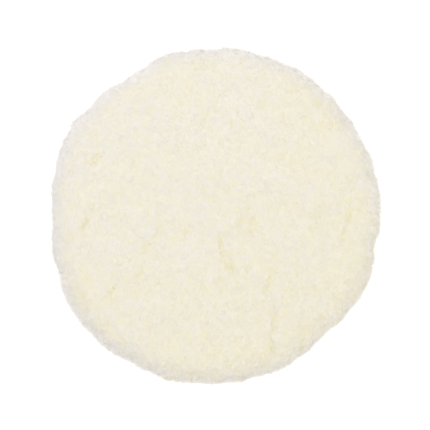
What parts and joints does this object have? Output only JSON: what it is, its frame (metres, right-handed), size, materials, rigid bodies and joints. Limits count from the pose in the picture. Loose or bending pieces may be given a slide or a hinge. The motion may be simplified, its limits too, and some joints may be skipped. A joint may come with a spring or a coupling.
{
  "type": "polishing pad",
  "caption": "Round lambswool polishing pad: dense shorn wool on a sheepskin cap over a foam disc, with a loop-cloth back and a centring ring for a hook-faced backing plate.",
  "frame": {"origin": "centre of the loop face, which lies at z = 0 and grips the backing plate", "axes": "+Z along the pad's spin axis, from the loop face towards the wool face; the pad is round, so +X and +Y are any two directions across it"},
  "size_m": [0.18, 0.18, 0.0314],
  "materials": {
    "wool": "natural cream lambswool, shorn to one length, matte",
    "hide": "tanned sheepskin, suede flesh side",
    "bond": "dried contact adhesive, translucent amber",
    "foam": "open-cell polyurethane foam",
    "ground_cloth": "warp-knit polyester ground",
    "loop_nap": "brushed nylon loops",
    "thread": "twisted bonded polyester thread",
    "ring": "moulded nylon, fine spark-eroded texture"
  },
  "bodies": {
    "root": {"wool_pile": "wool", "sheepskin_hide": "hide", "hide_bond": "bond", "foam_core": "foam", "loop_bond": "bond", "loop_cloth": "ground_cloth", "loop_nap": "loop_nap", "seam_needle_thread": "thread", "seam_bobbin_thread": "thread", "centring_ring": "ring"}
  },
  "joints": []
}
